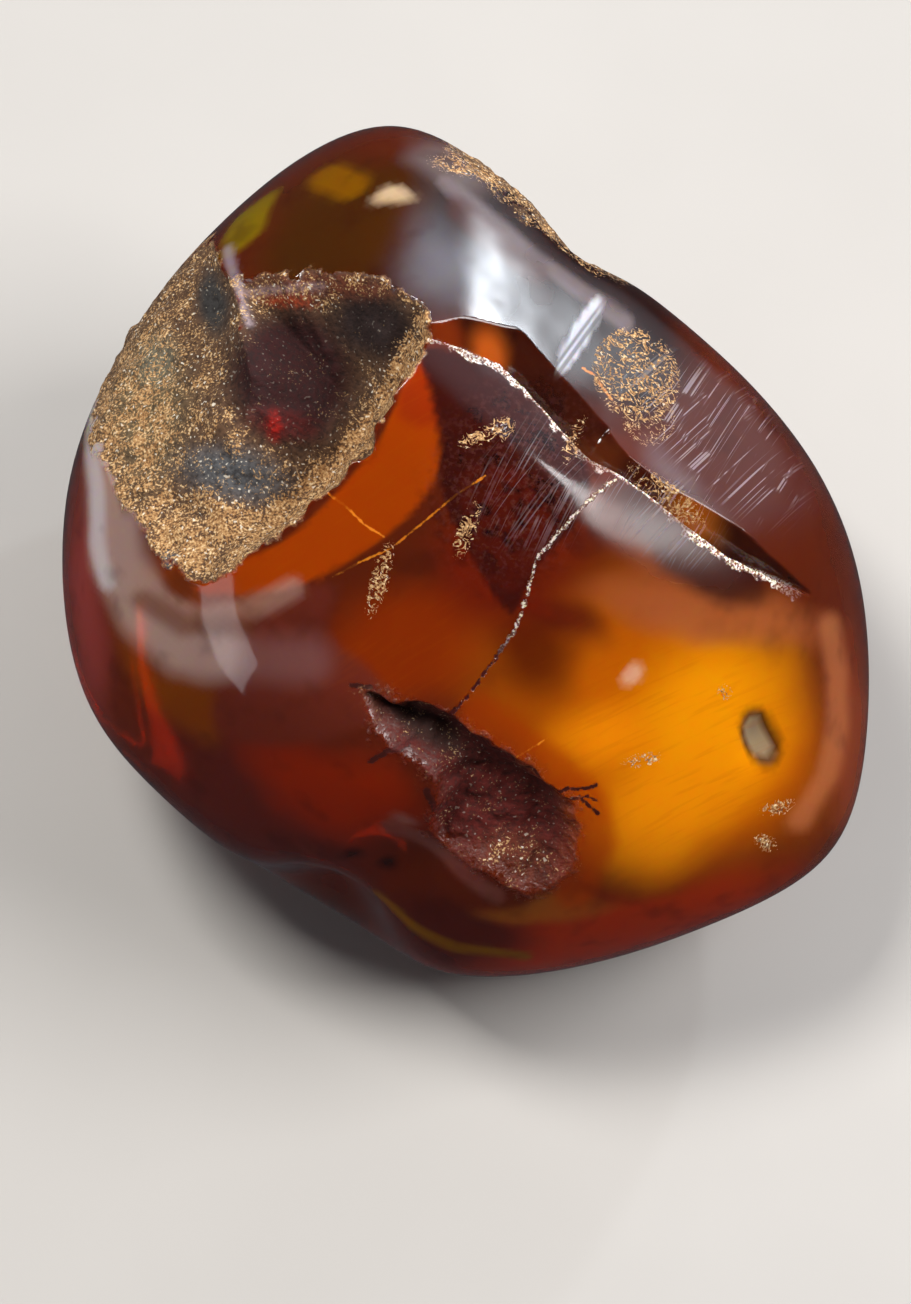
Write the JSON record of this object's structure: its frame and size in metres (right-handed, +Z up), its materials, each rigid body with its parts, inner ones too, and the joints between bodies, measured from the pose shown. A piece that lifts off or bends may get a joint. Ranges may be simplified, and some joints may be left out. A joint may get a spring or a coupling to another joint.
{
  "type": "amber nugget",
  "caption": "Irregular see-through amber stone with ground faces, a crusted hollow, a dark pocket and an open cleft, resting on a flat underside.",
  "frame": {"origin": "under the middle of the stone's bounding box, on the surface that it rests on", "axes": "+Z up from the flat underside, +X to the right and -Y toward the viewer of the side with the hollow and the cleft, which leans back by 22 degrees"},
  "size_m": [0.069, 0.0684, 0.0535],
  "materials": {
    "amber": "polished natural resin, clear orange to dark red-brown, with matt crust in the hollows"
  },
  "bodies": {
    "root": {"nugget": "amber"}
  },
  "joints": []
}
